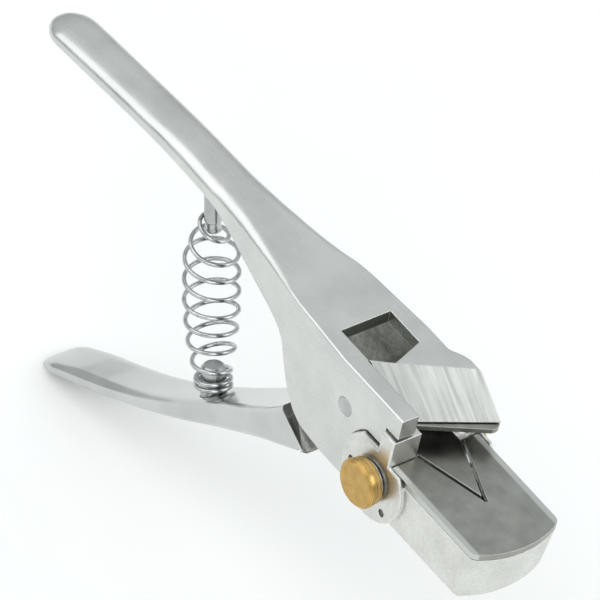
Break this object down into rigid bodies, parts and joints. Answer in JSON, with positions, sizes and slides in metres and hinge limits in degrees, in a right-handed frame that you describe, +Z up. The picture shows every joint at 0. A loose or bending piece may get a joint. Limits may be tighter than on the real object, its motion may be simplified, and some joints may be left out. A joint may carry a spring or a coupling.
{
  "type": "hoof nipper",
  "caption": "Single-lever shearing hoof nipper: cast handle and cheeks, boxed lower jaw with a slotted anvil plate, sprung lower handle carrying a knife.",
  "frame": {"origin": "on the anvil face, midway between the jaw's sides, where the straight sides end and the nose begins to bow", "axes": "+X forward out of the jaw's nose, +Y to the tool's far side, +Z up, square to the anvil face"},
  "size_m": [0.2364, 0.0444, 0.1236],
  "materials": {
    "polished_aluminium": "polished casting",
    "satin_aluminium": "satin casting",
    "ground_tool_steel": "ground, oil blackened",
    "presser_steel": "ground",
    "knife_steel": "finely ground",
    "spring_steel": "polished wire",
    "pin_steel": "turned",
    "turned_brass": "turned",
    "bearing_bronze": "turned"
  },
  "bodies": {
    "frame": {"frame": "polished_aluminium", "lower_jaw": "satin_aluminium", "anvil_plate": "ground_tool_steel", "anvil_screw_1": "pin_steel", "anvil_screw_2": "pin_steel", "anvil_screw_3": "pin_steel", "anvil_screw_4": "pin_steel", "presser_plate": "presser_steel", "presser_screw_1": "pin_steel", "presser_screw_2": "pin_steel", "washer_near": "pin_steel", "washer_far": "pin_steel", "roll_pin_near_1": "pin_steel", "roll_pin_near_2": "pin_steel", "roll_pin_far_1": "pin_steel", "roll_pin_far_2": "pin_steel", "pivot_pin": "pin_steel", "head_post": "pin_steel", "spring": "spring_steel"},
    "lever": {"lever": "polished_aluminium", "pivot_bush": "bearing_bronze", "thrust_washer_near": "bearing_bronze", "thrust_washer_far": "bearing_bronze", "knife": "knife_steel", "knife_screw_near": "pin_steel", "knife_screw_far": "pin_steel", "foot_post": "pin_steel"},
    "thumb_near": {"thumb_screw_near": "turned_brass"},
    "thumb_far": {"thumb_screw_far": "turned_brass"}
  },
  "joints": [
    {"name": "lever_pivot", "type": "hinge", "parent": "frame", "child": "lever", "pos_m": [-0.0645, 0, 0.003], "axis": [0, 1, 0], "range_deg": [0, 30], "stiffness_Nm_per_rad": 3, "springref_deg": -11.46, "deforming": ["spring"]},
    {"name": "thumb_near_turn", "type": "hinge", "parent": "frame", "child": "thumb_near", "pos_m": [-0.0457, -0.018, -0.009], "axis": [0, 1, 0], "continuous": true},
    {"name": "thumb_far_turn", "type": "hinge", "parent": "frame", "child": "thumb_far", "pos_m": [-0.0457, 0.018, -0.009], "axis": [0, 1, 0], "continuous": true}
  ]
}
